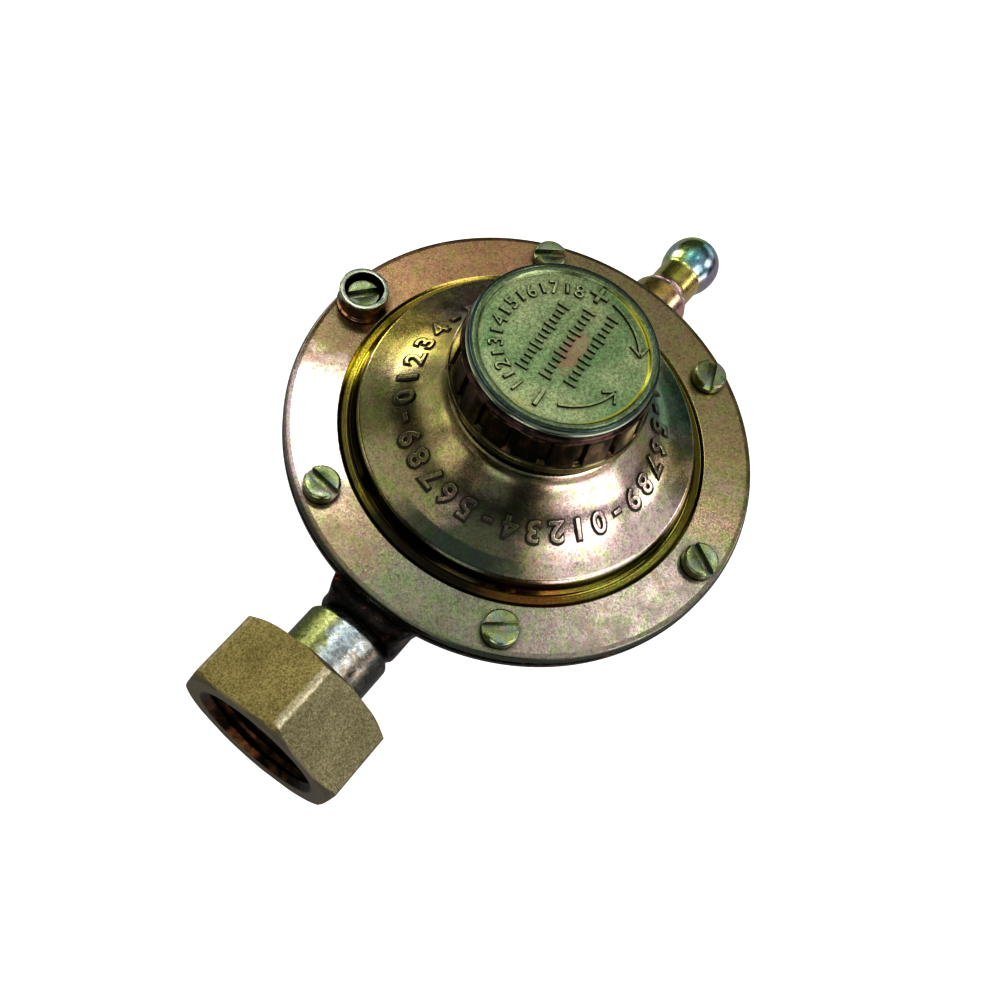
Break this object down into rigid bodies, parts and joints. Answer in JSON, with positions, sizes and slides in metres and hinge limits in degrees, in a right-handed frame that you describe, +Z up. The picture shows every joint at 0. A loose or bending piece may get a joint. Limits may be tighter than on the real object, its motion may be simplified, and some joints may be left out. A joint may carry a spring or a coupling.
{
  "type": "gas regulator",
  "caption": "Low-pressure diaphragm gas regulator with a bell-shaped cover, screwed adjusting knob, hexagonal union nut inlet and hose nozzle outlet.",
  "frame": {"origin": "centre of the body's flat base, on the knob's axis", "axes": "+Z up along the knob axis, -Y out of the inlet union nut, +Y out of the outlet nozzle"},
  "size_m": [0.0741, 0.1224, 0.0485],
  "materials": {
    "casting_dark": "dark passivated zinc die casting, semi-gloss",
    "passivated_zinc": "yellow iridescent passivated zinc die casting, grainy satin",
    "knob_zinc": "green-grey passivated zinc die casting with a worn copper tone in the middle",
    "sand_brass": "sand-textured brass with smooth worn edges",
    "brass": "turned brass",
    "zinc_steel": "yellow-green zinc-plated steel, semi-bright",
    "steel": "bright steel",
    "rubber": "black nitrile rubber, matt"
  },
  "bodies": {
    "regulator_body": {"body_casting": "casting_dark", "upper_cover": "passivated_zinc", "flange_screw_1": "zinc_steel", "flange_screw_2": "zinc_steel", "flange_screw_3": "zinc_steel", "flange_screw_4": "zinc_steel", "flange_screw_5": "zinc_steel", "flange_screw_6": "zinc_steel", "seal_cup": "zinc_steel", "main_spring": "steel", "diaphragm": "rubber", "lever_pin": "steel", "valve_seat_jet": "brass", "inlet_spigot": "zinc_steel", "inlet_filter": "brass", "inlet_gasket": "rubber", "outlet_nozzle": "zinc_steel", "outlet_seal_ring": "rubber"},
    "spring_carrier": {"spring_button": "steel"},
    "knob": {"adjusting_knob": "knob_zinc"},
    "diaphragm_centre": {"diaphragm_plate_upper": "steel", "diaphragm_plate_lower": "steel", "diaphragm_stem": "brass", "stem_nut": "steel"},
    "lever_arm": {"lever": "steel"},
    "valve": {"valve_plunger": "brass", "valve_pad": "rubber"},
    "slip_washer": {"nut_slip_washer": "steel"},
    "nut": {"union_nut": "sand_brass"}
  },
  "joints": [
    {"name": "adjuster_travel", "type": "slide", "parent": "regulator_body", "child": "spring_carrier", "axis": [0, 0, 1], "range_m": [-0.00242, 0.00162]},
    {"name": "knob_turn", "type": "hinge", "parent": "spring_carrier", "child": "knob", "pos_m": [0, 0, 0.045], "axis": [0, 0, 1], "range_deg": [-576, 384]},
    {"name": "diaphragm_travel", "type": "slide", "parent": "regulator_body", "child": "diaphragm_centre", "axis": [0, 0, 1], "range_m": [0, 0.0022], "stiffness_N_per_m": 600, "springref_m": -0.01, "deforming": ["main_spring", "diaphragm"]},
    {"name": "lever_swing", "type": "hinge", "parent": "regulator_body", "child": "lever_arm", "pos_m": [0, -0.011, 0.0103], "axis": [1, 0, 0], "range_deg": [0, 11.6]},
    {"name": "valve_travel", "type": "slide", "parent": "regulator_body", "child": "valve", "axis": [0, -1, 0], "range_m": [0, 0.00092]},
    {"name": "nut_slide", "type": "slide", "parent": "regulator_body", "child": "slip_washer", "axis": [0, 1, 0], "range_m": [0, 0.008]},
    {"name": "nut_spin", "type": "hinge", "parent": "slip_washer", "child": "nut", "pos_m": [0, -0.055, 0.0148], "axis": [0, -1, 0], "continuous": true}
  ],
  "couplings": [
    {"joint": "adjuster_travel", "follows": "knob_turn", "m_per_rad": 0.00023873},
    {"joint": "lever_swing", "follows": "diaphragm_travel", "rad_per_m": 90.909},
    {"joint": "valve_travel", "follows": "diaphragm_travel", "ratio": 0.40909}
  ]
}
